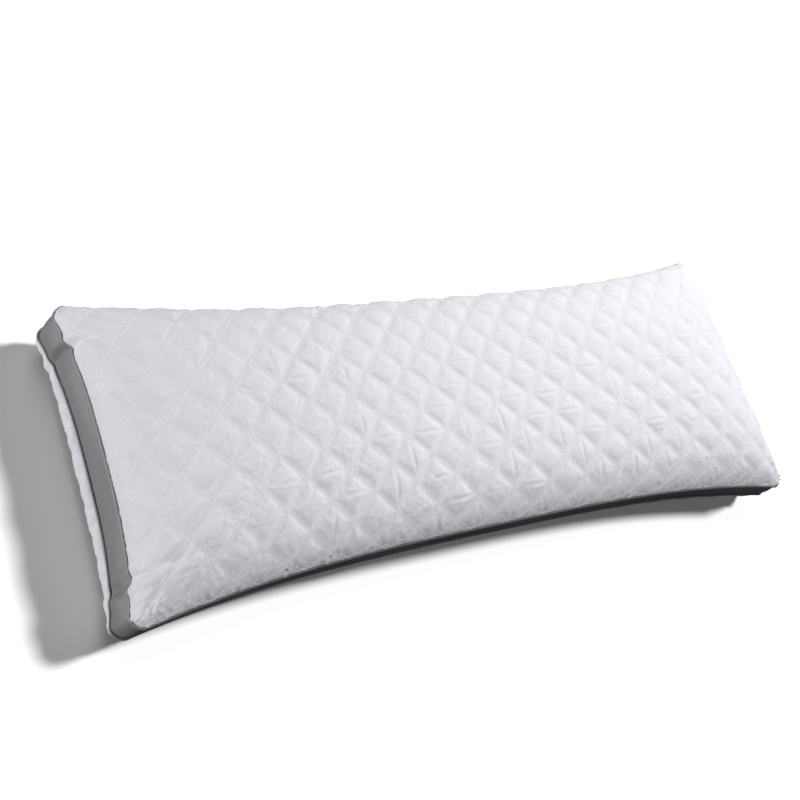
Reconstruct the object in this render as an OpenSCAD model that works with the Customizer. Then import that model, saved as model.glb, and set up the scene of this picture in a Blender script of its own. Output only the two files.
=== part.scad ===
// Gusseted, quilted body pillow, lying flat with its top panel up.
// X runs along its length, Y across its width, and it rests on Z = 0.

/* [Outline] */
// Length of the sewn outline, from short seam to short seam
pillow_l = 1350; // [900:10:1600]
// Width of the sewn outline, from long seam to long seam
pillow_w = 505; // [400:5:700]
// Radius of the outline's four corners
corner_r = 20; // [14:1:50]
// How far the middle of each long seam is drawn in
side_pull = 42; // [0:1:50]
// How far the middle of each short seam is drawn in
end_pull = 24; // [0:1:35]

/* [Height] */
// Rise of the top panel above its seam
top_crown = 88; // [50:1:110]
// Share of that rise which is lost at the four corners
corner_droop = 0.45; // [0:0.05:0.6]
// Height of the gusset between its two seams
gusset_h = 58; // [35:1:90]
// Height of the bottom seam above the surface the pillow lies on
bottom_drop = 44; // [30:1:70]
// Distance from the bottom seam in to the area that lies flat
rest_inset = 70; // [50:1:110]
// How strongly the bottom panel bellies out below its seam at the short ends
belly = 22; // [6:1:24]
// How far the bottom seam stands out past the top one at the short ends
end_flare = 12; // [0:1:20]
// How far the bottom seam stands out past the top one along the long sides
side_flare = -3; // [-8:1:12]
// How far the gusset bulges between its seams
gusset_bulge = 4; // [0:0.5:8]

/* [Cloth] */
// Thickness of the face fabric of both panels
face_t = 0.5; // [0.3:0.05:0.8]
// Thickness of the backing cloth behind the wadding
backing_t = 0.4; // [0.3:0.05:0.8]
// Thickness of the gusset cloth
gusset_t = 0.5; // [0.3:0.05:0.8]
// Thickness of the top panel's wadding in the middle
top_loft = 9; // [4:0.5:14]
// Thickness of the bottom panel's wadding in the middle, pressed by the weight
bottom_loft = 6; // [3:0.5:12]
// Thickness of the wadding where the seams pinch it
seam_loft = 2; // [1:0.5:3]
// Width of the seam allowance turned inside
allowance = 10; // [6:1:14]

/* [Piping] */
// Outside diameter of the piping
piping_d = 4; // [3:0.25:6]
// Thickness of the piping's cover cloth
piping_t = 0.3; // [0.2:0.05:0.5]

/* [Care label] */
// Length of the label along the seam
label_w = 44; // [25:1:80]
// How far the label hangs below the top seam's piping
label_drop = 34; // [20:1:45]
// Thickness of the folded label
label_t = 0.5; // [0.3:0.05:1]
// Distance of the label's middle from the middle of the long side
label_x = 60; // [40:1:90]

/* [Fits] */
// Clearance between neighbouring layers of cloth
layer_gap = 0.25; // [0.15:0.05:0.4]
// Clearance between the fill and the cloth around it
fill_gap = 1; // [0.5:0.1:3]
// Clearance where the two gusset strips meet
join_gap = 0.4; // [0.2:0.1:1]

/* [Hidden] */

half_l = pillow_l / 2;
half_w = pillow_w / 2;

// Steps along half a short side, round a corner and along half a long side
short_steps = 4;
corner_steps = 4;
long_steps = 7;
quarter_steps = short_steps + corner_steps + long_steps;

// Rings from a seam in to the middle of a panel and down the gusset, and facets round the piping
panel_rings = 5;
gusset_rings = 3;
piping_facets = 6;

// Heights of the two seams, and of the layers stacked in each seam
bottom_seam = bottom_drop;
top_seam = bottom_drop + gusset_h;
piping_stack = 2 * piping_t + layer_gap;
piping_offset = layer_gap + piping_stack / 2;
gusset_offset = 2 * layer_gap + piping_stack;
fill_offset = gusset_offset + gusset_t + fill_gap;

// Depths below a panel's outside, at its seam and at its middle, where each inner layer starts
wadding_start = face_t + layer_gap;
backing_start = wadding_start + layer_gap;
fill_start = backing_start + backing_t + fill_gap;

// One quarter of a rounded rectangle, from the end of its X axis to the end of its Y axis
function quarter(hx, hy, r) = [
    for (k = [0 : short_steps - 1]) [hx, (hy - r) * k / short_steps],
    for (k = [0 : corner_steps - 1])
        [hx - r + r * cos(90 * k / corner_steps), hy - r + r * sin(90 * k / corner_steps)],
    for (k = [0 : long_steps]) [(hx - r) * (1 - k / long_steps), hy]];

// A quarter's points carried round all four corners, anticlockwise from the end of the X axis
function all_round(q) =
    let (m = quarter_steps)
    [for (k = [0 : m - 1]) q[k],
     for (k = [m : -1 : 1]) [-q[k].x, q[k].y],
     for (k = [0 : m - 1]) [-q[k].x, -q[k].y],
     for (k = [m : -1 : 1]) [q[k].x, -q[k].y]];

// The way that each point of the outline faces
facing = all_round([
    for (k = [0 : short_steps - 1]) [1, 0],
    for (k = [0 : corner_steps - 1]) [cos(90 * k / corner_steps), sin(90 * k / corner_steps)],
    for (k = [0 : long_steps]) [0, 1]]);

// How far a side is drawn in, from 1 at its middle to 0 at its ends
function bow(t) = 1 - pow(min(1, abs(t)), 3);

// A level ring of the pillow's outline, set out from the top seam; flare 1 is the bottom seam
function outline(out, flare = 0) =
    let (hx = half_l + out + flare * end_flare,
         hy = half_w + out + flare * side_flare,
         r = max(4, min(hy - 1, corner_r + (out > 0 ? out : -0.9 * out))),
         fade = max(0, 1 + min(0, out) / half_w))
    [for (p = all_round(quarter(hx, hy, r)))
        [p.x * (1 - fade * end_pull / hx * bow(p.y / hy * half_w / (half_w - corner_r))),
         p.y * (1 - fade * side_pull / hy * bow(p.x / hx * half_l / (half_l - corner_r)))]];

function ring(out, z, flare = 0) = [for (p = outline(out, flare)) [p.x, p.y, z]];

// Distance in from the seam of ring k, closer together near the seam
function inset(k) = 0.88 * half_w * pow(k / panel_rings, 2.2);

// Rise of a stuffed panel at a distance in from its seam, from 0 to 1
function rise(d) = pow(1 - pow(1 - d / half_w, 2.4), 0.42);

// Depth of a layer at a share t of the way in from the seam
function depth(seam, middle, t) = seam + (middle - seam) * sqrt(t);

// A ring moved square to the panel's surface by a depth, where tilt 0 is inwards and 90 is up
function sunk(points, deep, tilt) = [
    for (j = [0 : len(points) - 1])
        points[j] + deep * [-facing[j].x * cos(tilt), -facing[j].y * cos(tilt), sin(tilt)]];

// Ring k of the top panel, at a depth below its outside
function top_ring(k, seam, middle, lift) =
    let (d = inset(k), t = d / half_w, tilt = 90 * pow(t, 0.22))
    sunk([for (p = outline(-d))
            let (droop = 1 - corner_droop * pow(abs(p.x) / half_l, 8) * pow(abs(p.y) / half_w, 4))
            [p.x, p.y, top_seam + (k == 0 ? lift : top_crown * rise(d) * droop)]],
        depth(seam, middle, t), -tilt);

function top_middle(middle) = [0, 0, top_seam + top_crown - middle];

// How much of the belly there is at each point of a ring, from 1 at the middle of a short end
function swell(points) = [
    for (j = [0 : len(points) - 1]) abs(facing[j].x) * bow(points[j].y / half_w)];

// Ring k of the bottom panel, at a depth inside it: it bellies out, then curves in to lie flat
function bottom_ring(k, seam, middle, lift) =
    let (a = min(90, 90 * k / (panel_rings - 1)),
         out = k < panel_rings ? -rest_inset * (1 - cos(a)) : -0.88 * half_w,
         points = ring(out, k == 0 ? bottom_seam - lift : bottom_seam * (1 - sin(a)), 1),
         swells = swell(points),
         bellied = [for (j = [0 : len(points) - 1])
             points[j] + belly * sin(2 * a) * swells[j] * [facing[j].x, 0, 0]])
    sunk(bellied, depth(seam, middle, k / panel_rings), a);

function bottom_middle(middle) = [0, 0, middle];

// Two triangles across a patch of a skin
function patch(a, b, c, d) = [[a, c, b], [a, d, c]];

// Side faces between ring i and ring next, over n points that go right round. Inward bands are
// split the other way, so that the skins of neighbouring layers keep to the same facets
function band(i, next, n, inward = false) = [
    for (j = [0 : n - 1])
        let (a = i * n + j, b = i * n + (j + 1) % n, c = next * n + (j + 1) % n, d = next * n + j)
        each inward ? patch(b, c, d, a) : patch(a, b, c, d)];

// A closed ring-shaped piece, from the rings round its section, outside going down
module loop_piece(rings) {
    m = len(rings);
    n = len(rings[0]);
    polyhedron([for (r = rings) each r], [for (i = [0 : m - 1]) each band(i, (i + 1) % m, n)]);
}

// A closed sheet or lump, from one middle point out over its rings to the other middle point
module sheet_piece(first, rings, last) {
    m = len(rings);
    n = len(rings[0]);
    polyhedron([for (r = rings) each r, first, last],
        [for (j = [0 : n - 1]) [m * n, j, (j + 1) % n],
         for (i = [0 : m - 2]) each band(i, i + 1, n, i >= m / 2),
         for (j = [0 : n - 1]) [m * n + 1, (m - 1) * n + (j + 1) % n, (m - 1) * n + j]]);
}

// A strip that follows part of the outline, from the rings round its section
module strip_piece(rings, from, steps) {
    m = len(rings);
    n = len(rings[0]);
    w = steps + 1;
    side = rings[0][(from + 1) % n].x > 0 ? 1 : -1;
    polyhedron(
        [for (r = rings) for (j = [0 : steps])
            let (p = r[(from + j) % n])
            (j == 0 || j == steps) ? [side * join_gap / 2, p.y, p.z] : p],
        [for (i = [0 : m - 1]) for (j = [0 : steps - 1])
            each patch(i * w + j, i * w + j + 1, ((i + 1) % m) * w + j + 1, ((i + 1) % m) * w + j),
         [for (i = [0 : m - 1]) i * w],
         [for (i = [m - 1 : -1 : 0]) i * w + steps]]);
}

// Outermost skin of the top panel, its edge turned in as a seam allowance
module top_face_fabric() {
    color("white")
    sheet_piece(top_middle(0),
        [for (k = [panel_rings : -1 : 0]) top_ring(k, 0, 0, 0),
         ring(-allowance, top_seam),
         ring(-allowance, top_seam + face_t),
         for (k = [0 : panel_rings]) top_ring(k, face_t, face_t, face_t)],
        top_middle(face_t));
}

// A layer inside the top panel, between two depths, that ends above the seam allowance
module top_layer(outer_seam, outer_middle, inner_seam, inner_middle) {
    lift = face_t + layer_gap;
    sheet_piece(top_middle(outer_middle),
        [for (k = [panel_rings : -1 : 0]) top_ring(k, outer_seam, outer_middle, lift),
         for (k = [0 : panel_rings]) top_ring(k, inner_seam, inner_middle, lift)],
        top_middle(inner_middle));
}

module top_wadding() {
    color("gainsboro")
    top_layer(wadding_start, wadding_start, wadding_start + seam_loft, wadding_start + top_loft);
}

module top_backing() {
    color("lightgrey")
    top_layer(backing_start + seam_loft, backing_start + top_loft,
        backing_start + seam_loft + backing_t, backing_start + top_loft + backing_t);
}

// Outermost skin of the bottom panel, its edge turned in as a seam allowance
module bottom_face_fabric() {
    color("white")
    sheet_piece(bottom_middle(face_t),
        [for (k = [panel_rings : -1 : 0]) bottom_ring(k, face_t, face_t, face_t),
         ring(-allowance, bottom_seam - face_t, 1),
         ring(-allowance, bottom_seam, 1),
         for (k = [0 : panel_rings]) bottom_ring(k, 0, 0, 0)],
        bottom_middle(0));
}

// A layer inside the bottom panel, between two depths, that ends below the seam allowance
module bottom_layer(outer_seam, outer_middle, inner_seam, inner_middle) {
    lift = face_t + layer_gap;
    sheet_piece(bottom_middle(inner_middle),
        [for (k = [panel_rings : -1 : 0]) bottom_ring(k, inner_seam, inner_middle, lift),
         for (k = [0 : panel_rings]) bottom_ring(k, outer_seam, outer_middle, lift)],
        bottom_middle(outer_middle));
}

module bottom_wadding() {
    color("gainsboro")
    bottom_layer(wadding_start, wadding_start,
        wadding_start + seam_loft, wadding_start + bottom_loft);
}

module bottom_backing() {
    color("lightgrey")
    bottom_layer(backing_start + seam_loft, backing_start + bottom_loft,
        backing_start + seam_loft + backing_t, backing_start + bottom_loft + backing_t);
}

// Heights of the gusset's top and bottom edges, under and over the piping's allowances
gusset_top = top_seam - gusset_offset;
gusset_bottom = bottom_seam + gusset_offset;

// Ring of the gusset at a share of the way down, and at a depth inside it
function gusset_ring(share, deep) =
    ring(gusset_bulge * sin(180 * share) - deep,
        gusset_top - deep - (gusset_top - gusset_bottom - 2 * deep) * share, share);

gusset_section = [
    for (k = [0 : gusset_rings]) gusset_ring(k / gusset_rings, 0),
    ring(-allowance, gusset_bottom, 1),
    ring(-allowance, gusset_bottom + gusset_t, 1),
    for (k = [gusset_rings : -1 : 0]) gusset_ring(k / gusset_rings, gusset_t),
    ring(-allowance, gusset_top - gusset_t),
    ring(-allowance, gusset_top)];

module gusset_strip_left() {
    color("dimgrey") strip_piece(gusset_section, quarter_steps, 2 * quarter_steps);
}

module gusset_strip_right() {
    color("dimgrey") strip_piece(gusset_section, 3 * quarter_steps, 2 * quarter_steps);
}

// Middle of the piping's round section, measured out from its seam
piping_out = piping_d / 2 + layer_gap;
bulb_r = piping_d / 2 - piping_t;
cord_r = bulb_r - layer_gap;

// Ring at an angle round the piping's section, where 0 points outwards
function piping_ring(r, angle, z, flare) =
    ring(piping_out + r * cos(angle), z + r * sin(angle), flare);

// Rings round the piping's section, from just above its allowance over to just below it
function bulb_rings(r, half_slit, z, flare) =
    let (slit = asin(half_slit / r), sweep = 360 - 2 * slit)
    [for (k = [0 : piping_facets]) piping_ring(r, 180 - slit - sweep * k / piping_facets, z, flare)];

// Bias strip folded round the cord, with both edges run in between the allowances
module piping_cover(z, flare) {
    outer = bulb_rings(piping_d / 2, piping_stack / 2, z, flare);
    inner = bulb_rings(bulb_r, layer_gap / 2, z, flare);
    color("slategrey")
    loop_piece([
        ring(-allowance, z + piping_stack / 2, flare),
        each outer,
        ring(-allowance, z - piping_stack / 2, flare),
        ring(-allowance, z - layer_gap / 2, flare),
        for (k = [piping_facets : -1 : 0]) inner[k],
        ring(-allowance, z + layer_gap / 2, flare)]);
}

module piping_cord(z, flare) {
    color("ivory")
    loop_piece([for (k = [0 : piping_facets - 1])
        piping_ring(cord_r, 180 - 360 * k / piping_facets, z, flare)]);
}

module top_piping_cover() { piping_cover(top_seam - piping_offset, 0); }
module top_piping_cord() { piping_cord(top_seam - piping_offset, 0); }
module bottom_piping_cover() { piping_cover(bottom_seam + piping_offset, 1); }
module bottom_piping_cord() { piping_cord(bottom_seam + piping_offset, 1); }

// Loose fibre that fills the cover and presses round the seam allowances
module fibre_fill() {
    clear = gusset_t + fill_gap;
    neck = -allowance - fill_gap;
    lift = face_t + layer_gap;
    under = top_seam - fill_offset;
    over = bottom_seam + fill_offset;
    top_middle_depth = fill_start + top_loft;
    bottom_middle_depth = fill_start + bottom_loft;
    color("ghostwhite")
    sheet_piece(top_middle(top_middle_depth),
        [for (k = [panel_rings : -1 : 0])
            top_ring(k, fill_start + seam_loft, top_middle_depth, lift),
         ring(neck, top_seam + lift), ring(neck, under),
         for (k = [0 : gusset_rings])
            let (share = k / gusset_rings)
            ring(gusset_bulge * sin(180 * share) - clear, under + (over - under) * share, share),
         ring(neck, over, 1), ring(neck, bottom_seam - lift, 1),
         for (k = [0 : panel_rings])
            bottom_ring(k, fill_start + seam_loft, bottom_middle_depth, lift)],
        bottom_middle(bottom_middle_depth));
}

// Blank folded label, caught under the piping on the far long side and hanging over the gusset
module care_label() {
    seam_y = half_w - side_pull * bow(label_x / (half_l - corner_r));
    tab_z = top_seam - piping_offset - piping_d / 2 - layer_gap;
    top_y = gusset_bulge + 2 * layer_gap;
    end_y = top_y + max(0, side_flare);
    color("white")
    translate([label_x - label_w / 2, seam_y + 2 * join_gap, tab_z])
    rotate([90, 0, 90])
    linear_extrude(label_w)
    polygon([[0, 0], [0, -label_t], [top_y, -label_t], [end_y, -label_drop],
        [end_y + label_t, -label_drop], [top_y + label_t, 0]]);
}

top_face_fabric();
top_wadding();
top_backing();
bottom_face_fabric();
bottom_wadding();
bottom_backing();
gusset_strip_left();
gusset_strip_right();
top_piping_cover();
top_piping_cord();
bottom_piping_cover();
bottom_piping_cord();
fibre_fill();
care_label();
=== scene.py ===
import math

import bmesh
import bpy
import numpy as np
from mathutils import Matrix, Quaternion, Vector


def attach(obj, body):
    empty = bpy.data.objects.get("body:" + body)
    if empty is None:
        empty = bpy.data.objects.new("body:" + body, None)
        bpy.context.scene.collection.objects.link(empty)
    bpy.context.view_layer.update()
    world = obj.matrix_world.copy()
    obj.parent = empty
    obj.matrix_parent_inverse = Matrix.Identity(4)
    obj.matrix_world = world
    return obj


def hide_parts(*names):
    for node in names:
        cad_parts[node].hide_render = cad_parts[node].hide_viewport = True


# A long white quilted body pillow with a grey satin side wall and piped seams, lying on a pale floor.
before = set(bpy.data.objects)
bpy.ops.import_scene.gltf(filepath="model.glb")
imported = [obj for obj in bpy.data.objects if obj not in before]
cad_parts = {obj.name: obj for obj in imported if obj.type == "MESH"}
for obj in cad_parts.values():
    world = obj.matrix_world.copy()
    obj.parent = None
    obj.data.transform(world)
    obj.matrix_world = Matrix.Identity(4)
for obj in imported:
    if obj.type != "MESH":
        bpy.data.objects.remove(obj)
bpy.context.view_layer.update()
scene = bpy.context.scene


# ---------------------------------------------------------------- camera
# A studio camera held above one long side near the left end, and turned about its own line of
# sight so that the pillow runs across the picture.
camera_data = bpy.data.cameras.new("camera")
camera_data.lens = 53.11
camera_data.sensor_width = 36.0
camera_data.clip_end = 30.0
camera = bpy.data.objects.new("camera", camera_data)
camera.location = (-1.2081, -0.5619, 1.6893)
aim = Vector((-0.1282, 0.0328, 0.102))
camera_roll = 47.55
camera.rotation_mode = "QUATERNION"
looking = (aim - camera.location).to_track_quat("-Z", "Y")
camera.rotation_quaternion = looking @ Quaternion((0, 0, 1), math.radians(camera_roll))
scene.collection.objects.link(camera)
scene.camera = camera


# ---------------------------------------------------------------- floor and light
# A seamless white studio floor. A key light from the far right end, a wide one overhead and two
# weak fills light the pillow, and light from the right end casts its shadow beyond the left end.
bm = bmesh.new()
bmesh.ops.create_grid(bm, x_segments=1, y_segments=1, size=6.0)
floor_mesh = bpy.data.meshes.new("floor")
bm.to_mesh(floor_mesh)
bm.free()
floor = bpy.data.objects.new("floor", floor_mesh)
scene.collection.objects.link(floor)

floor_paint = bpy.data.materials.new("floor_paint")
floor_paint.use_nodes = True
nodes = floor_paint.node_tree.nodes
links = floor_paint.node_tree.links
shader = nodes["Principled BSDF"]
shader.inputs["Roughness"].default_value = 0.9
shader.inputs["Specular IOR Level"].default_value = 0.0
shader.inputs["Emission Strength"].default_value = 0.07
# Painted shade: the floor is white to the camera but nearly black to bounced light, so it throws almost
# no light back onto the pillow's underside and side wall.
paths = nodes.new("ShaderNodeLightPath")
seen = nodes.new("ShaderNodeMix")
seen.data_type = "RGBA"
seen.inputs["A"].default_value = (0.05, 0.05, 0.052, 1)
seen.inputs["B"].default_value = (0.93, 0.93, 0.93, 1)
links.new(paths.outputs["Is Camera Ray"], seen.inputs["Factor"])
grain = nodes.new("ShaderNodeTexNoise")
grain.inputs["Scale"].default_value = 3.0
place = nodes.new("ShaderNodeTexCoord")
links.new(place.outputs["Object"], grain.inputs["Vector"])
tint = nodes.new("ShaderNodeMix")
tint.data_type = "RGBA"
tint.blend_type = "MULTIPLY"
tint.inputs["Factor"].default_value = 0.03
links.new(seen.outputs["Result"], tint.inputs["A"])
links.new(grain.outputs["Color"], tint.inputs["B"])
links.new(tint.outputs["Result"], shader.inputs["Base Color"])
links.new(seen.outputs["Result"], shader.inputs["Emission Color"])
floor_mesh.materials.append(floor_paint)

world = bpy.data.worlds.new("studio")
world.use_nodes = True
nodes = world.node_tree.nodes
links = world.node_tree.links
nodes["Background"].inputs["Color"].default_value = (0.95, 0.97, 1.0, 1)
nodes["Background"].inputs["Strength"].default_value = 0.06
backdrop = nodes.new("ShaderNodeBackground")
backdrop.inputs["Color"].default_value = (1.0, 1.0, 1.0, 1)
world_paths = nodes.new("ShaderNodeLightPath")
either = nodes.new("ShaderNodeMixShader")
links.new(world_paths.outputs["Is Camera Ray"], either.inputs["Fac"])
links.new(nodes["Background"].outputs["Background"], either.inputs[1])
links.new(backdrop.outputs["Background"], either.inputs[2])
links.new(either.outputs["Shader"], nodes["World Output"].inputs["Surface"])
scene.world = world

floor_only = bpy.data.collections.new("floor_only")
floor_only.objects.link(floor)
quilt_only = bpy.data.collections.new("quilt_only")
not_floor = bpy.data.collections.new("not_floor")
not_floor.objects.link(floor)
not_floor.collection_objects[0].light_linking.link_state = "EXCLUDE"


def soft_light(name, location, target, size, power, lit):
    """One soft box at a place, turned towards a target, lighting one collection."""
    data = bpy.data.lights.new(name, "AREA")
    data.shape = "RECTANGLE"
    data.size, data.size_y = size
    data.energy = power
    lamp = bpy.data.objects.new(name, data)
    lamp.location = location
    lamp.rotation_mode = "QUATERNION"
    lamp.rotation_quaternion = (Vector(target) - Vector(location)).to_track_quat("-Z", "Y")
    lamp.light_linking.receiver_collection = lit
    scene.collection.objects.link(lamp)


def far_light(name, source, strength, spread, lit):
    """Even light from far away in one direction, as soft as its spread in degrees."""
    data = bpy.data.lights.new(name, "SUN")
    data.energy = strength
    data.angle = math.radians(spread)
    lamp = bpy.data.objects.new(name, data)
    lamp.location = source
    lamp.rotation_mode = "QUATERNION"
    lamp.rotation_quaternion = Vector(source).to_track_quat("Z", "Y")
    lamp.light_linking.receiver_collection = lit
    scene.collection.objects.link(lamp)


soft_light("key_light", (2.35, 1.85, 1.75), (0.1, 0.0, 0.1), (0.6, 0.6), 77, not_floor)
soft_light("overhead_light", (0.35, 0.25, 2.4), (0.1, 0.05, 0.1), (2.4, 1.4), 26.5, not_floor)
soft_light("left_fill", (-2.6, 0.3, 0.32), (-0.6, 0.0, 0.08), (1.2, 0.4), 30, not_floor)
soft_light("front_fill", (0.0, -2.0, 1.3), (0.0, -0.1, 0.1), (2.0, 0.8), 16, quilt_only)
far_light("floor_light", (4.0, 0.2, 3.9), 4.3, 9.0, floor_only)
far_light("floor_soft_light", (0.6, 2.0, 3.2), 0.70, 35.0, floor_only)
scene.view_settings.view_transform = "Standard"
scene.view_settings.look = "None"


# ---------------------------------------------------------------- quilted top panel
# White brushed microfibre, quilted to thin wadding with twin needle rows that cross in diamonds.
# The cloth is cut a little larger than the crown under it, so the diamonds puff and crease.
half_l, half_w = 0.675, 0.2525
corner_r = 0.020
side_pull, end_pull = 0.042, 0.024
top_seam_z, bottom_seam_z = 0.102, 0.044
crown_height, corner_droop = 0.088, 0.45
repeat_steps = 28
needle_rows = (2, repeat_steps - 2)
top_columns, top_rows = 508, 184
quilt_ease = 1.014
top_kink = 0.011


def bow(t):
    """How far a side is pulled in: nothing at the corners, 1 at the middle."""
    return 1 - np.minimum(1, np.abs(t)) ** 3


def crown_rise(share):
    """Crown of the stuffed top, from the seam (0) to the middle (1)."""
    return (1 - (1 - share) ** 2.4) ** 0.42


def corner_drop(x, y):
    """The crown falls away towards the four corners of the outline."""
    to_corner = np.hypot(half_l - np.abs(x), half_w - np.abs(y))
    return ((1 - corner_droop * np.abs(x / half_l) ** 8 * np.abs(y / half_w) ** 4)
            * (1 - 0.34 * np.exp(-(to_corner / 0.070) ** 2)))


def lower_of(a, b):
    """The lower of two rises, rounded off where they meet."""
    a, b = np.maximum(a, 1e-4), np.maximum(b, 1e-4)
    return (a ** -4 + b ** -4 - 1) ** -0.25


def pulled(x, y):
    """Points of a rounded rectangle moved to the sewn outline: its sides pull in between the corners."""
    return (x * (1 - end_pull / half_l * bow(y / (half_w - corner_r))),
            y * (1 - side_pull / half_w * bow(x / (half_l - corner_r))))


def kinked(x, y, depth):
    """The two small jogs in the left end's seams, about 60 mm in from its corners."""
    jog_at, jog_width, jog_reach = 0.190, 0.010, 0.030
    s = (np.abs(y) - jog_at) / jog_width
    fade = np.exp(-(np.maximum(0, x + half_l) / jog_reach) ** 2)
    return x - depth * s * np.exp(-s * s) * fade * (x < 0)


def rounded(x, y):
    """Points of the square-cornered rectangle moved so that its corners are rounded."""
    px = np.clip((corner_r - (half_l - np.abs(x))) / corner_r, 0, 1)
    py = np.clip((corner_r - (half_w - np.abs(y))) / corner_r, 0, 1)
    near = (px > 0) & (py > 0)
    k = np.maximum(px, py) / np.maximum(np.hypot(px, py), 1e-9)
    rx = np.sign(x) * (half_l - corner_r + corner_r * px * k)
    ry = np.sign(y) * (half_w - corner_r + corner_r * py * k)
    return np.where(near, rx, x), np.where(near, ry, y)


class Cut:
    """A panel's cut: how the flat cloth, measured from its middle, lies on the stuffed pillow."""

    def __init__(self, curve, spread, height):
        self.height = height
        self.spread = spread
        mid_w = half_w - side_pull
        self.inset = np.linspace(0, 1, 4001) ** 2 * mid_w
        self.lift = curve(np.minimum(1, self.inset / spread))
        run = np.hypot(np.diff(self.inset), height * np.diff(self.lift))
        self.cloth = np.concatenate([[0], np.cumsum(run)])
        self.half_v = self.cloth[-1]
        self.half_u = self.half_v + half_l - end_pull - mid_w

    def lay(self, u, v):
        """Place of cloth points u, v: outline x, y, rise from 0 to 1, droop and roundness at the ends."""
        mid_w, mid_l = half_w - side_pull, half_l - end_pull
        du = self.half_u - np.abs(u)
        dv = self.half_v - np.abs(v)
        rolled = np.interp(du, self.cloth, self.inset)
        inset_u = np.where(du < self.half_v, rolled, mid_w + du - self.half_v)
        inset_v = np.interp(dv, self.cloth, self.inset)
        x = np.sign(u) * (half_l - inset_u * half_l / mid_l)
        y = np.sign(v) * (half_w - inset_v * half_w / mid_w)
        lift_u = np.interp(inset_u, self.inset, self.lift)
        lift_v = np.interp(inset_v, self.inset, self.lift)
        x, y = rounded(x, y)
        droop = corner_drop(x, y)
        across = np.clip(1 - inset_u / self.spread, 0, 1)
        return x, y, lower_of(lift_u, lift_v), droop, lift_u * across


def lumpy(u, v, lift):
    """Slow rises and hollows of the filling under the upper cloth."""
    lump_height, lump_waves = 0.0009, 9
    rng = np.random.default_rng(11)
    total = np.zeros_like(u)
    for _ in range(lump_waves):
        wx, wy = rng.uniform(-9, 9), rng.uniform(-14, 14)
        total += np.sin(wx * u + wy * v + rng.uniform(0, 6.28))
    return lump_height * total * np.clip(lift * 2 - 1, 0, 1)


def end_creases(x, y):
    """Depth of the two long creases that run in from the jogs in the left end's seam."""
    crease_depth, crease_width, crease_reach = 0.0055, 0.0050, 0.055
    run_in = np.clip((x + 0.668) / 0.012, 0, 1) * np.exp(-((x + 0.668) / crease_reach) ** 2)
    total = np.zeros_like(x)
    for side in (1, -1):
        across = (y - side * (0.184 - 0.10 * (x + 0.66))) / crease_width
        total += np.exp(-across ** 2) - 0.45 * np.exp(-((across - side * 2.2) / 1.3) ** 2)
    return crease_depth * run_in * total


def top_face(u, v):
    """Where the top panel's cloth points lie, before they puff."""
    x, y, lift, droop, _ = top_cut.lay(u, v)
    x, y = pulled(x, y)
    x = kinked(x, y, top_kink)
    z = top_seam_z + crown_height * lift * droop + lumpy(u, v, lift) - end_creases(x, y)
    return np.stack([x, y, z], 1)


def cloth_grid(name, columns, rows):
    """A grid mesh, with each point's column and row number."""
    bm = bmesh.new()
    bmesh.ops.create_grid(bm, x_segments=columns, y_segments=rows, size=1.0)
    mesh = bpy.data.meshes.new(name)
    bm.to_mesh(mesh)
    bm.free()
    flat = points_of(mesh)
    i = np.rint((flat[:, 0] + 1) * columns / 2).astype(int)
    j = np.rint((flat[:, 1] + 1) * rows / 2).astype(int)
    return mesh, i, j


def points_of(mesh):
    """A mesh's points as an array."""
    flat = np.empty(len(mesh.vertices) * 3, np.float32)
    mesh.vertices.foreach_get("co", flat)
    return flat.reshape(-1, 3).astype(float)


def move_points(mesh, points):
    """Puts a mesh's points where the array says."""
    mesh.vertices.foreach_set("co", np.asarray(points, np.float32).ravel())
    mesh.update()


def facing_of(mesh):
    """Each point's outward direction."""
    flat = np.empty(len(mesh.vertices) * 3, np.float32)
    mesh.vertex_normals.foreach_get("vector", flat)
    return flat.reshape(-1, 3).astype(float)


def new_piece(name, mesh):
    """Links a mesh as a smooth-shaded object that rides on the pillow."""
    mesh.shade_smooth()
    piece = bpy.data.objects.new(name, mesh)
    scene.collection.objects.link(piece)
    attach(piece, "root")
    return piece


def set_cloth_map(mesh, u, v):
    """Lays the flat cloth's own measure, in metres, on the mesh as its UV map."""
    layer = mesh.uv_layers.new(name="cloth")
    corner = np.empty(len(mesh.loops), np.int32)
    mesh.loops.foreach_get("vertex_index", corner)
    layer.uv.foreach_set("vector", np.stack([u[corner], v[corner]], 1).astype(np.float32).ravel())


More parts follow.
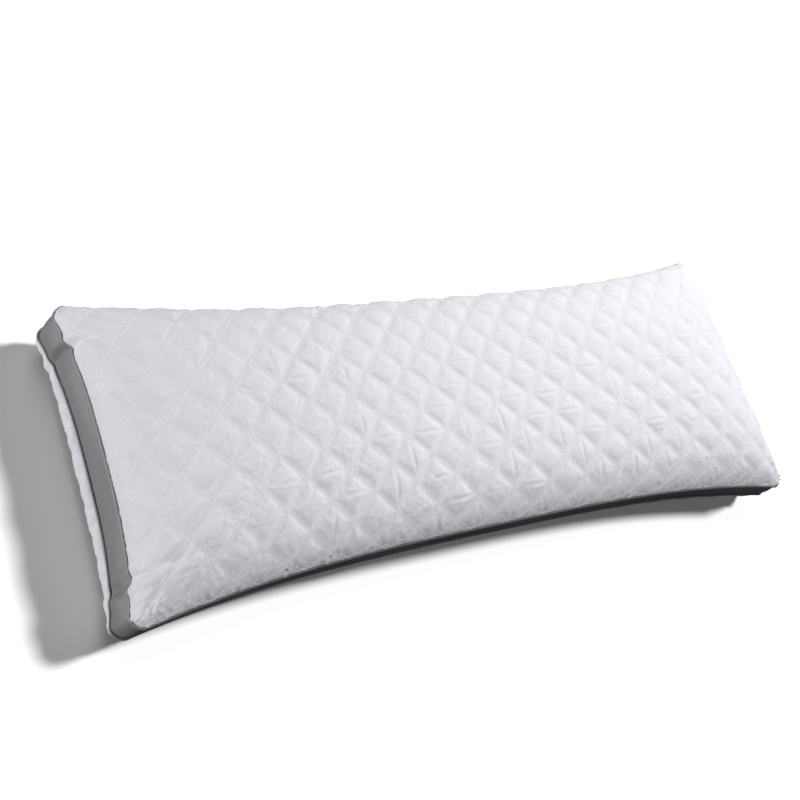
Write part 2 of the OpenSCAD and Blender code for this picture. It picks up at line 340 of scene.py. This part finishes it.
def relax_cloth(piece, flat, sewn, pressure, frames):
    """Lets sewn cloth settle: flat is its cut, sewn its held points, pressure the push of the fill."""
    scale, most_moved = 10.0, 0.0045
    mesh = piece.data
    start = points_of(mesh)
    move_points(mesh, start * scale)
    piece.shape_key_add(name="Basis")
    cut = piece.shape_key_add(name="cut")
    cut.data.foreach_set("co", (flat * scale).astype(np.float32).ravel())
    cut.value = 0
    group = piece.vertex_groups.new(name="sewn")
    group.add(np.flatnonzero(sewn).tolist(), 1.0, "ADD")
    cloth = piece.modifiers.new("cloth", "CLOTH")
    settings = cloth.settings
    settings.vertex_group_mass = "sewn"
    settings.rest_shape_key = cut
    settings.quality = 4
    settings.mass = 0.02
    settings.tension_stiffness = 10
    settings.compression_stiffness = 10
    settings.shear_stiffness = 3
    settings.bending_stiffness = 0.02
    settings.tension_damping = 2
    settings.compression_damping = 2
    settings.shear_damping = 2
    settings.use_pressure = True
    settings.uniform_pressure_force = pressure
    settings.effector_weights.gravity = 0
    cloth.collision_settings.use_collision = False
    cloth.point_cache.frame_start = 1
    cloth.point_cache.frame_end = frames + 1
    for frame_number in range(1, frames + 1):
        scene.frame_set(frame_number)
    shown = piece.evaluated_get(bpy.context.evaluated_depsgraph_get())
    settled = points_of(shown.data) / scale
    piece.modifiers.remove(cloth)
    piece.shape_key_clear()
    piece.vertex_groups.clear()
    scene.frame_set(1)
    moved = settled - start
    far = np.linalg.norm(moved, axis=1, keepdims=True)
    move_points(mesh, start + moved * np.minimum(1, most_moved / np.maximum(far, 1e-9)))


def in_diamond(i, j, steps):
    """The diamond a cloth point is in, and where in it: -1 to 1 from one quilting line to the next."""
    a = (i + j) / steps
    b = (i - j) / steps
    cell_a, cell_b = np.floor(a).astype(int), np.floor(b).astype(int)
    return cell_a, cell_b, 2 * (a - cell_a) - 1, 2 * (b - cell_b) - 1


def on_row(i, j, steps, rows):
    """Whether a cloth point is on one of the twin needle rows, which lie each side of a quilting line."""
    return np.isin((i + j) % steps, rows) | np.isin((i - j) % steps, rows)


def on_edge(i, j):
    """Whether a cloth point is at the panel's sewn edge."""
    return (i == 0) | (i == i.max()) | (j == 0) | (j == j.max())


def seam_folds(u, v, cut, rng, depth):
    """Small gathered folds that run in from the seams and die out."""
    waves_each, share_each, fold_start, fold_reach = 5, 0.42, 0.008, 0.026
    to_side = cut.half_v - np.abs(v)
    to_end = cut.half_u - np.abs(u)
    total = np.zeros_like(u)
    for reach, along, side in ((to_side, u, v > 0), (to_end, v, u > 0)):
        fade = (reach / fold_start) ** 0.5 * np.exp(-reach / fold_reach)
        for _ in range(waves_each):
            wave = rng.uniform(0.010, 0.023)
            phase = rng.uniform(0, 2 * math.pi, 2)
            lean = rng.uniform(-0.7, 0.7, 2)
            patch = rng.uniform(0, 2 * math.pi, 2)
            turn = np.where(side, 2 * math.pi * (along + lean[0] * reach) / wave + phase[0],
                            2 * math.pi * (along + lean[1] * reach) / wave + phase[1])
            patch_turn = 2 * math.pi * along / (4.7 * wave) + np.where(side, patch[0], patch[1])
            here = 0.5 + 0.5 * np.sin(patch_turn)
            total += share_each * np.sin(turn) * here ** 2 * fade
    return depth * total


def loose_wrinkles(u, v):
    """Patches of fine straight wrinkles, from 0 for smooth cloth to several where patches overlap."""
    rng = np.random.default_rng(17)
    total = np.zeros_like(u)
    for _ in range(8):
        angle, wave = rng.uniform(-1.2, 0.9), rng.uniform(0.014, 0.030)
        along = u * math.sin(angle) + v * math.cos(angle)
        patch = np.sin(u * rng.uniform(20, 60) + v * rng.uniform(-60, 60) + rng.uniform(0, 6))
        line = np.exp(-(np.sin(math.pi * along / wave + rng.uniform(0, 6)) / 0.30) ** 2)
        total += line * np.clip(patch * 3 - 1.4, 0, 1)
    return total


def corner_fans(p, q, cell_a, cell_b):
    """Creases that run into a diamond from its left and right corners, in some of the diamonds."""
    dice = np.random.default_rng(6).random((80, 80, 6))[cell_a % 80, cell_b % 80]
    crease_width, crease_share = 0.06, 0.45
    total = np.zeros_like(p)
    for k, side in enumerate((1, -1, 1)):
        reach = 1 - side * p
        slope = (dice[:, k] - 0.5) * 1.2
        crease = np.exp(-((q - slope * reach) / crease_width) ** 2) * np.clip((1.1 - reach) / 0.4, 0, 1)
        total += crease * (dice[:, k + 3] > crease_share)
    return total


top_cut = Cut(crown_rise, half_w - side_pull, crown_height)
mesh, i, j = cloth_grid("top_quilt", top_columns, top_rows)
top_i, top_j = i, j
u = (2 * i / top_columns - 1) * top_cut.half_u
v = (2 * j / top_rows - 1) * top_cut.half_v
laid = top_face(u, v)
move_points(mesh, laid)
x = laid[:, 0]
laid = points_of(mesh)
outward = facing_of(mesh)

# Each diamond's puff, and the level or upright crease across some of the diamonds.
cell_a, cell_b, a, b = in_diamond(i, j, repeat_steps)
dice = np.random.default_rng(5).random((80, 80, 8))[cell_a % 80, cell_b % 80]
p, q = (a + b) / 2, (a - b) / 2
right = np.clip((x + 0.50) / 0.55, 0, 1)
inner = 1 - 2 * needle_rows[0] / repeat_steps
across_a, across_b = np.minimum(1, np.abs(a) / inner), np.minimum(1, np.abs(b) / inner)
puff = ((1 - across_a ** 2) * (1 - across_b ** 2)) ** (0.40 + 0.2 * right)
ridge = np.clip((np.maximum(np.abs(a), np.abs(b)) - inner) / (1 - inner), 0, 1)
level_crease = dice[:, 0] < 0.05 + 0.80 * right * np.clip((v + 0.13) / 0.06, 0.15, 1)
lower_middle = (v < -0.02) * (v > -0.19) * (u < 0.40)
upright_crease = (dice[:, 7] < 0.06 + 0.60 * right * lower_middle) & ~level_crease
offset = (dice[:, 1] - 0.5) * 0.10
slant = (dice[:, 2] - 0.5) * 0.10
level_line = (offset * (1 - p * p) + slant * p) * (dice[:, 4] > 0.5)
off_level = (q - level_line) / (0.055 + 0.02 * dice[:, 3])
off_upright = (p - offset * (1 - q * q) - slant * q) / 0.075
valley = (np.where(level_crease, np.exp(-off_level ** 2), 0)
          + np.where(upright_crease, np.exp(-off_upright ** 2), 0))
from_middle = np.where(level_crease, np.abs(p), np.abs(q))
length = np.clip((1.10 - from_middle * (1.0 + 0.35 * dice[:, 4])) / 0.25, 0, 1)
puff = puff * (1 - np.where(level_crease, 0.90 + 0.10 * dice[:, 5], 0.85) * valley * length)
middle = np.exp(-((x - 0.02) / 0.38) ** 2)
to_seam = np.minimum(top_cut.half_u - np.abs(u), top_cut.half_v - np.abs(v))
puff_height = (0.0014 + 0.0008 * middle + 0.0010 * (1 - right)) * (0.75 + 0.5 * dice[:, 6])
puff_height = puff_height * np.clip(to_seam / 0.040, 0.20, 1) * (1 + 0.30 * level_crease)

# The relief that settles as cloth: puffs, gathers at the seams and the ridge between needle rows.
gather_depth, ridge_height, deepest_relief = 0.0036, 0.0005, 0.0010
unevenness = 0.00012
gather_share = np.where(v > 0, 0.35, 1.0)
folds = seam_folds(u, v, top_cut, np.random.default_rng(8), gather_depth) * gather_share
relief = (puff_height * puff + folds * np.clip(puff * 2, 0, 1)
          + ridge_height * ridge * np.clip(to_seam / 0.01, 0, 1))
relief += np.random.default_rng(2).normal(0, unevenness, len(u)) * (puff > 0.05)
edge = on_edge(i, j)
sewn = on_row(i, j, repeat_steps, needle_rows) | edge
relief = np.where(edge, 0, np.maximum(relief, -deepest_relief))

# The fine relief pressed in afterwards: gathers, wrinkles, creases and the sunk needle rows.
fine_gather, wrinkle_depth, fan_depth, crease_depth, groove_depth = 0.0022, 0.0011, 0.0010, 0.0012, 0.0006
deepest_fine = 0.0012
fine = seam_folds(u, v, top_cut, np.random.default_rng(9), fine_gather) * gather_share
fine -= wrinkle_depth * loose_wrinkles(u, v) * (1 - 0.65 * right)
fine -= fan_depth * corner_fans(p, q, cell_a, cell_b) * (1 - 0.55 * right)
fine -= crease_depth * valley * length * right
fine = fine * np.clip(puff * 3, 0, 1)
groove = (on_row(i, j, repeat_steps, needle_rows) | (ridge > 0)) * np.clip(to_seam / 0.02, 0, 1)
fine = np.maximum(fine - groove_depth * groove, -deepest_fine)

move_points(mesh, laid + outward * np.where(sewn, 0, relief)[:, None])
set_cloth_map(mesh, u, v)
top_quilt = new_piece("top_quilt", mesh)
fullness = 1.6
ease_u = 1.008 + 0.007 * (u / top_cut.half_u + 1) / 2
flat = np.stack([u * ease_u, v * quilt_ease, fullness * relief], 1)
relax_cloth(top_quilt, flat, sewn, pressure=3.0, frames=6)
move_points(mesh, points_of(mesh) + facing_of(mesh) * np.where(edge, 0, fine)[:, None])
quilt_only.objects.link(top_quilt)
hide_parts("top_face_fabric")


def new_material(name):
    """A node material and its shader."""
    made = bpy.data.materials.new(name)
    made.use_nodes = True
    return made, made.node_tree.nodes, made.node_tree.links, made.node_tree.nodes["Principled BSDF"]


def thread_group():
    """The shared weave: fine threads in two directions, as a height, and a cloudy tone."""
    group = bpy.data.node_groups.new("woven_threads", "ShaderNodeTree")
    group.interface.new_socket("Vector", in_out="INPUT", socket_type="NodeSocketVector")
    group.interface.new_socket("Pitch", in_out="INPUT", socket_type="NodeSocketFloat")
    group.interface.new_socket("Height", in_out="OUTPUT", socket_type="NodeSocketFloat")
    group.interface.new_socket("Tone", in_out="OUTPUT", socket_type="NodeSocketFloat")
    made = group.nodes
    start = made.new("NodeGroupInput")
    end = made.new("NodeGroupOutput")
    heights = []
    for name, direction in (("warp", "X"), ("weft", "Y")):
        wave = made.new("ShaderNodeTexWave")
        wave.name = name
        wave.bands_direction = direction
        wave.inputs["Distortion"].default_value = 0.6
        wave.inputs["Detail"].default_value = 1.0
        group.links.new(start.outputs["Vector"], wave.inputs["Vector"])
        group.links.new(start.outputs["Pitch"], wave.inputs["Scale"])
        heights.append(wave)
    both = made.new("ShaderNodeMath")
    both.operation = "MULTIPLY"
    group.links.new(heights[0].outputs["Fac"], both.inputs[0])
    group.links.new(heights[1].outputs["Fac"], both.inputs[1])
    group.links.new(both.outputs["Value"], end.inputs["Height"])
    cloudy = made.new("ShaderNodeTexNoise")
    cloudy.inputs["Scale"].default_value = 45.0
    cloudy.inputs["Detail"].default_value = 3.0
    group.links.new(start.outputs["Vector"], cloudy.inputs["Vector"])
    group.links.new(cloudy.outputs["Fac"], end.inputs["Tone"])
    return group


woven_threads = thread_group()


def woven(name, dark, light, roughness, pitch, bump, source="UV"):
    """A woven cloth material: two near tones and a fine thread bump."""
    made, nodes, links, shader = new_material(name)
    place = nodes.new("ShaderNodeTexCoord")
    threads = nodes.new("ShaderNodeGroup")
    threads.node_tree = woven_threads
    threads.inputs["Pitch"].default_value = pitch
    links.new(place.outputs[source], threads.inputs["Vector"])
    tone = nodes.new("ShaderNodeMix")
    tone.data_type = "RGBA"
    tone.inputs["A"].default_value = (*dark, 1)
    tone.inputs["B"].default_value = (*light, 1)
    links.new(threads.outputs["Tone"], tone.inputs["Factor"])
    links.new(tone.outputs["Result"], shader.inputs["Base Color"])
    height = nodes.new("ShaderNodeBump")
    height.inputs["Strength"].default_value = bump
    height.inputs["Distance"].default_value = 0.0003
    links.new(threads.outputs["Height"], height.inputs["Height"])
    links.new(height.outputs["Normal"], shader.inputs["Normal"])
    shader.inputs["Roughness"].default_value = roughness
    return made, shader


microfibre, shader = woven("white_microfibre", (0.80, 0.80, 0.845), (0.86, 0.86, 0.90), 0.82, 900.0, 0.15)
nodes, links = microfibre.node_tree.nodes, microfibre.node_tree.links
cloth_place = nodes.new("ShaderNodeTexCoord")
crumple = nodes.new("ShaderNodeTexNoise")
crumple.inputs["Scale"].default_value = 58.0
crumple.inputs["Detail"].default_value = 4.0
crumple.inputs["Distortion"].default_value = 1.3
links.new(cloth_place.outputs["UV"], crumple.inputs["Vector"])
crumple_height = nodes.new("ShaderNodeBump")
crumple_height.inputs["Strength"].default_value = 0.6
crumple_height.inputs["Distance"].default_value = 0.0017
links.new(crumple.outputs["Fac"], crumple_height.inputs["Height"])
weave_height = shader.inputs["Normal"].links[0].from_node
links.new(crumple_height.outputs["Normal"], weave_height.inputs["Normal"])
shader.inputs["Sheen Weight"].default_value = 0.12
shader.inputs["Sheen Roughness"].default_value = 0.5
shader.inputs["Specular IOR Level"].default_value = 0.25
mesh.materials.append(microfibre)


# ---------------------------------------------------------------- quilted bottom panel
# The same quilted cloth underneath. Its diamonds are pressed flat where the pillow lies on the
# floor, and it rolls up to the lower seam all round, fuller at the two short ends.
roll_in, belly = 0.070, 0.022
end_flare, side_flare = 0.012, -0.003
bottom_columns, bottom_rows = 360, 130
bottom_step = 20
bottom_needles = (1, bottom_step - 1)
bottom_kink = 0.003
stitch_lift, touch_z = 0.0036, 0.0004


def floor_roll(share):
    """Rounded edge of the underside, from the seam (0) down to the floor (1)."""
    return np.sqrt(np.maximum(0, 1 - (1 - share) ** 2))


def bottom_face(u, v):
    """Where the bottom panel's cloth points lie, before they puff."""
    x, y, lift, _, end_round = bottom_cut.lay(u, v)
    fuller = 2 * belly * end_round * bow(y / half_w) * np.sign(u)
    x, y = pulled(x, y)
    x = kinked((x + fuller) * (1 + end_flare / half_l), y, bottom_kink)
    y = y * (1 + side_flare / half_w)
    z = bottom_seam_z - (bottom_seam_z - stitch_lift) * lift
    return np.stack([x, y, z], 1)


bottom_cut = Cut(floor_roll, roll_in * 0.9, bottom_seam_z)
mesh, i, j = cloth_grid("bottom_quilt", bottom_columns, bottom_rows)
bottom_i, bottom_j = i, j
u = (2 * i / bottom_columns - 1) * bottom_cut.half_u
v = (1 - 2 * j / bottom_rows) * bottom_cut.half_v
move_points(mesh, bottom_face(u, v))
laid = points_of(mesh)
outward = facing_of(mesh)
_, _, a, b = in_diamond(i, j, bottom_step)
puff = np.maximum(0, (1 - a * a) * (1 - b * b)) ** 0.6
puff_height, gather_depth = 0.0032, 0.0014
folds = seam_folds(u, v, bottom_cut, np.random.default_rng(21), gather_depth)
sewn = on_row(i, j, bottom_step, bottom_needles) | on_edge(i, j)
relief = np.where(sewn, 0, puff_height * puff + folds * np.clip(puff * 3, 0, 1))
move_points(mesh, laid + outward * relief[:, None])
set_cloth_map(mesh, u, v)
bottom_quilt = new_piece("bottom_quilt", mesh)
fullness = 1.3
flat = np.stack([u * quilt_ease, v * -quilt_ease, fullness * relief], 1)
relax_cloth(bottom_quilt, flat, sewn, pressure=3.0, frames=4)
settled = points_of(mesh)
settled[:, 2] = np.maximum(settled[:, 2], touch_z)
move_points(mesh, settled)
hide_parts("bottom_face_fabric")
mesh.materials.append(microfibre)


# ---------------------------------------------------------------- side strips
# Two lengths of mid-grey satin joined at the middles of the long sides make the upright wall.
# It bulges a little, gathers at both seams and buckles beside the two left corners.
strip_bulge, strip_thickness = 0.004, 0.0005
strip_columns, strip_rows = 620, 16
corner_points = 13


def ring_tables():
    """The outline as a table: share of the way round, corner-centre place and facing."""
    quarter = np.linspace(0, math.pi / 2, corner_points)
    core, face = [(1, 0)], [(1, 0)]
    for turn, (cx, cy) in enumerate(((1, 1), (-1, 1), (-1, -1), (1, -1))):
        for angle in quarter + turn * math.pi / 2:
            core.append((cx, cy))
            face.append((math.cos(angle), math.sin(angle)))
    core.append((1, 0))
    face.append((1, 0))
    core, face = np.array(core, float), np.array(face, float)
    line = core * (half_l - corner_r, half_w - corner_r) + face * corner_r
    run = np.concatenate([[0], np.cumsum(np.linalg.norm(np.diff(line, axis=0), axis=1))])
    return run / run[-1], core, face, run[-1]


ring_share, ring_core, ring_face, ring_length = ring_tables()


def sewn_ring(share, out, flare=0.0):
    """Points round the sewn outline, moved outwards by out and spread by flare at the lower seam."""
    share = np.mod(share, 1)
    kx, ky = (np.interp(share, ring_share, ring_core[:, n]) for n in (0, 1))
    nx, ny = (np.interp(share, ring_share, ring_face[:, n]) for n in (0, 1))
    far = np.maximum(1e-9, np.hypot(nx, ny))
    nx, ny = nx / far, ny / far
    hx = half_l + out + flare * end_flare
    hy = half_w + out + flare * side_flare
    r = np.where(out > 0, corner_r + out, np.minimum(hy - 0.001, corner_r - 0.9 * out))
    x, y = kx * (hx - r) + nx * r, ky * (hy - r) + ny * r
    fade = np.maximum(0, 1 + np.minimum(0, out) / half_w)
    pulled_x = x * (1 - fade * end_pull / hx * bow(y / hy * half_w / (half_w - corner_r)))
    pulled_y = y * (1 - fade * side_pull / hy * bow(x / hx * half_l / (half_l - corner_r)))
    return kinked(pulled_x, pulled_y, top_kink + (bottom_kink - top_kink) * flare), pulled_y


def joined(mesh, fill_ends=False):
    """Welds a wrapped grid where its edges meet, and closes its ends if asked."""
    bm = bmesh.new()
    bm.from_mesh(mesh)
    bmesh.ops.remove_doubles(bm, verts=bm.verts, dist=1e-6)
    if fill_ends:
        bmesh.ops.holes_fill(bm, edges=[e for e in bm.edges if e.is_boundary], sides=0)
    bmesh.ops.recalc_face_normals(bm, faces=bm.faces)
    bm.to_mesh(mesh)
    bm.free()


def corner_distance(share, corner):
    """Signed distance round the outline, in metres, from the middle of a corner."""
    at = ring_share[1 + corner_points // 2 + corner_points * corner]
    return (np.mod(share - at + 0.5, 1) - 0.5) * ring_length


def wall_out(share, down):
    """How far the side wall stands out of the upper seam line at a share round and a share down."""
    wiggle_height, swell_height = 0.00042, 0.0012
    rng = np.random.default_rng(31)
    near = np.exp(-down / 0.20) + np.exp(-(1 - down) / 0.20)
    out = strip_bulge * np.sin(math.pi * down)
    for _ in range(7):
        wave, phase, lean = rng.uniform(0.014, 0.040), rng.uniform(0, 6.28), rng.uniform(-0.012, 0.012)
        turns = np.maximum(1, np.round(ring_length / wave))
        here = 0.5 + 0.5 * np.sin(2 * math.pi * share * rng.integers(5, 30) + rng.uniform(0, 6.28))
        wiggle = np.sin(2 * math.pi * turns * share + phase + lean * down / wave * 6)
        out = out + wiggle_height * wiggle * here * near * np.sin(math.pi * np.clip(down, 0, 1)) ** 0.4
    for corner, side, depth in ((1, 1, 0.0050), (2, -1, 0.0060)):
        d = side * corner_distance(share, corner)
        lean = 0.016 * (down - 0.5)
        fold = np.exp(-((d - 0.058 - lean) / 0.0075) ** 2)
        swell = np.exp(-((d - 0.036 - lean) / 0.014) ** 2)
        second = np.exp(-((d - 0.083 + lean) / 0.009) ** 2)
        middle = np.sin(math.pi * down) ** 0.8
        out = out + middle * depth * (-fold + 0.55 * swell - 0.30 * second)
    slow = np.sin(2 * math.pi * share * 9 + 1.0) + np.sin(2 * math.pi * share * 14 + 4.0)
    return out + swell_height * slow * np.sin(math.pi * down)


satin, shader = woven("grey_satin", (0.245, 0.245, 0.258), (0.28, 0.28, 0.295), 0.42, 1100.0, 0.25)
shader.inputs["Specular IOR Level"].default_value = 0.45

for side, first in (("left", 0.25), ("right", -0.25)):
    name = "side_strip_" + side
    mesh, i, j = cloth_grid(name, strip_columns, strip_rows)
    share = first + 0.5 * i / strip_columns
    down = 1 - j / strip_rows
    x, y = sewn_ring(share, wall_out(share, down), down)
    z = top_seam_z + (bottom_seam_z - top_seam_z) * down
    move_points(mesh, np.stack([x, y, z], 1))
    set_cloth_map(mesh, share * ring_length, z)
    strip = new_piece(name, mesh)
    mesh.materials.append(satin)
    body = strip.modifiers.new("thickness", "SOLIDIFY")
    body.thickness = strip_thickness
    body.offset = -1
    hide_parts("gusset_strip_" + side)


# ---------------------------------------------------------------- piped seams
# A thin satin-covered cord is caught in the upper and the lower seam all the way round. It
# stands just proud of the wall and catches the light as one fine bright line.
piping_radius, piping_out, piping_drop = 0.0020, 0.00225, 0.000675
piping_columns, piping_sides = 1500, 12
cord_radius, cord_strands, cord_turns = 0.00155, 3, 420
cord_columns, cord_sides = 1200, 9

satin_piping, shader = woven("piping_satin", (0.30, 0.30, 0.315), (0.36, 0.36, 0.375), 0.33, 1400.0, 0.3)
shader.inputs["Specular IOR Level"].default_value = 0.6

cotton, shader = woven("cotton_cord", (0.70, 0.67, 0.60), (0.80, 0.77, 0.70), 0.9, 500.0, 0.4)


def seam_tube(name, z, flare, columns, sides, radius, twist=0):
    """A closed tube that follows a seam; with twist it shows strands laid round each other."""
    mesh, i, j = cloth_grid(name, columns, sides)
    share = i / columns
    angle = 2 * math.pi * j / sides
    turn = angle + 2 * math.pi * twist * share
    size = radius * (1 - 0.12 * np.abs(np.sin(cord_strands * turn / 2)) * (twist > 0))
    x, y = sewn_ring(share, piping_out + size * np.cos(angle), flare)
    move_points(mesh, np.stack([x, y, z + size * np.sin(angle)], 1))
    set_cloth_map(mesh, share * ring_length, angle * radius)
    joined(mesh)
    return new_piece(name, mesh)


seams = (("top", top_seam_z - piping_drop, 0.0), ("bottom", bottom_seam_z + piping_drop, 1.0))
for level, z, flare in seams:
    cover = seam_tube(level + "_piping", z, flare, piping_columns, piping_sides, piping_radius)
    cover.data.materials.append(satin_piping)
    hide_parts(level + "_piping_cover")
    cord = seam_tube(level + "_cord", z, flare, cord_columns, cord_sides, cord_radius, cord_turns)
    cord.data.materials.append(cotton)
    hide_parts(level + "_piping_cord")


# ---------------------------------------------------------------- quilting stitches
# White thread in the twin needle rows, one short raised stitch after another. The thread glows faintly
# (painted light), so it shows a little brighter than the cloth in spite of the shade its raised stitches
# cast.
thread_radius, stitch_gap = 0.00048, 0.22

glowing_thread, shader = woven("white_thread_painted_glow", (0.92, 0.92, 0.94), (0.97, 0.97, 0.98), 0.6, 900.0, 0.2, "Object")
# Painted light: a faint white glow in the thread lifts it out of the shade of its own stitches.
shader.inputs["Emission Color"].default_value = (1.0, 1.0, 1.0, 1)
shader.inputs["Emission Strength"].default_value = 0.15


def stitch_rows(name, mesh, i, j, steps, rows):
    """Every stitch of a panel as one mesh, from needle hole to needle hole along its twin rows."""
    points, out = points_of(mesh), facing_of(mesh)
    index = -np.ones((i.max() + 2, j.max() + 2), int)
    index[i, j] = np.arange(len(i))
    curve = bpy.data.curves.new(name, "CURVE")
    curve.dimensions = "3D"
    curve.bevel_depth = thread_radius
    curve.bevel_resolution = 0
    for sign in (1, -1):
        inside = (i < i.max()) & (j < j.max() if sign < 0 else j > 0)
        at = np.isin((i + sign * j) % steps, rows) & inside
        start = np.flatnonzero(at)
        end = index[i[start] + 1, j[start] - sign]
        raised = points + out * thread_radius * 0.9
        p0, p1 = raised[start], raised[end]
        p0, p1 = p0 + (p1 - p0) * stitch_gap, p1 - (p1 - p0) * stitch_gap
        for first, last in zip(p0, p1):
            line = curve.splines.new("POLY")
            line.points.add(1)
            line.points[0].co = (*first, 1)
            line.points[1].co = (*last, 1)
    holder = bpy.data.objects.new(name + "_curve", curve)
    scene.collection.objects.link(holder)
    made = bpy.data.meshes.new_from_object(holder)
    made.name = name
    bpy.data.objects.remove(holder)
    bpy.data.curves.remove(curve)
    piece = new_piece(name, made)
    made.materials.clear()
    made.materials.append(glowing_thread)
    return piece


top_stitches = stitch_rows("top_stitches", top_quilt.data, top_i, top_j, repeat_steps, needle_rows)
quilt_only.objects.link(top_stitches)
stitch_rows("bottom_stitches", bottom_quilt.data, bottom_i, bottom_j, bottom_step, bottom_needles)


# ---------------------------------------------------------------- wadding and backing
# Behind each quilted face lies a thin layer of polyester wadding, then a plain backing cloth.
# The quilting goes through all three, and both layers end in the seam.
layer_columns, layer_rows = 130, 48
wadding_sink, wadding_thickness = 0.0014, 0.0019
backing_sink, backing_thickness = 0.0036, 0.0004

wadding, shader = woven("soft_wadding", (0.80, 0.80, 0.79), (0.92, 0.92, 0.91), 0.95, 60.0, 0.6, "Object")
backing, shader = woven("backing_cloth", (0.66, 0.66, 0.67), (0.74, 0.74, 0.75), 0.85, 700.0, 0.3)


def panel_layer(name, cut, face, turned, sink, thickness):
    """One layer behind a quilted face, sunk by a distance, with its own thickness."""
    margin = 0.0005
    mesh, i, j = cloth_grid(name, layer_columns, layer_rows)
    u = (2 * i / layer_columns - 1) * (cut.half_u - margin)
    v = (2 * j / layer_rows - 1) * (cut.half_v - margin) * turned
    move_points(mesh, face(u, v))
    move_points(mesh, points_of(mesh) - facing_of(mesh) * sink)
    set_cloth_map(mesh, u, v)
    piece = new_piece(name, mesh)
    body = piece.modifiers.new("thickness", "SOLIDIFY")
    body.thickness = thickness
    body.offset = -1
    return piece


for level, cut, face, turned in (("top", top_cut, top_face, 1), ("bottom", bottom_cut, bottom_face, -1)):
    layer = panel_layer(level + "_wadding_layer", cut, face, turned, wadding_sink, wadding_thickness)
    layer.data.materials.append(wadding)
    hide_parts(level + "_wadding")
    layer = panel_layer(level + "_backing_layer", cut, face, turned, backing_sink, backing_thickness)
    layer.data.materials.append(backing)
    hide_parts(level + "_backing")


# ---------------------------------------------------------------- fibre filling
# One crowned body of loose polyester fibre fills the case. It is blown in, and stays a few
# millimetres inside the backing cloth.
fill_columns, fill_gap = 240, 0.0110
fill_inset, fill_floor, fill_wall = 0.013, 0.0075, 0.050
fill_widest = 0.97

loft, shader = woven("loose_fibre", (0.86, 0.86, 0.85), (0.95, 0.95, 0.94), 1.0, 90.0, 0.8, "Object")
profile = []
for s in np.sin(np.linspace(1, 0.02, 16) * math.pi / 2) * fill_widest:
    profile.append((-half_w * s, top_seam_z + crown_height * crown_rise(s) - fill_gap, 0))
for s in np.linspace(0, 1, 7):
    profile.append((-fill_inset, top_seam_z - 0.004 - fill_wall * s, s))
for angle in np.linspace(0.15, math.pi / 2, 9):
    sunk = (bottom_seam_z - fill_floor) * (1 - math.sin(angle))
    profile.append((-fill_inset - roll_in * (1 - math.cos(angle)), fill_floor + sunk, 1))
for s in np.linspace(0.40, fill_widest, 8):
    profile.append((-half_w * s, fill_floor, 1))
profile = np.array(profile)
mesh, i, j = cloth_grid("fibre_filling", fill_columns, len(profile) - 1)
out, z, flare = profile[len(profile) - 1 - j].T
share = i / fill_columns
x, y = sewn_ring(share, out, flare)
z = np.where(z > top_seam_z, top_seam_z + (z - top_seam_z) * corner_drop(x, y), z)
move_points(mesh, np.stack([x, y, z], 1))
joined(mesh, fill_ends=True)
filling = new_piece("fibre_filling", mesh)
mesh.materials.append(loft)
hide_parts("fibre_fill")


# ---------------------------------------------------------------- care label
# A blank woven tape is caught under the upper piping on the far long side. It hangs down over
# the wall, and stands off it a little.
label_first, label_width, label_drop, label_caught = 0.038, 0.044, 0.034, 0.006
label_columns, label_rows = 12, 10

tape, shader = woven("label_tape", (0.80, 0.80, 0.80), (0.88, 0.88, 0.87), 0.55, 1200.0, 0.3)
mesh, i, j = cloth_grid("care_tape", label_columns, label_rows)
across = label_width * i / label_columns
x = label_first + across
down = 1 - j / label_rows
wall = half_w - side_pull * bow(x / (half_l - corner_r))
ripple = 0.0012 * np.sin(9 * down) * across / label_width
y = wall + 0.0015 + 0.0068 * np.sin(down * 1.9) + ripple
z = top_seam_z - 0.0042 - label_drop * down
move_points(mesh, np.stack([2 * label_first + label_width - x, y, z], 1))
set_cloth_map(mesh, x, z)
label = new_piece("care_tape", mesh)
mesh.materials.append(tape)
body = label.modifiers.new("thickness", "SOLIDIFY")
body.thickness = 0.0004
body.offset = 1
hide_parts("care_label")
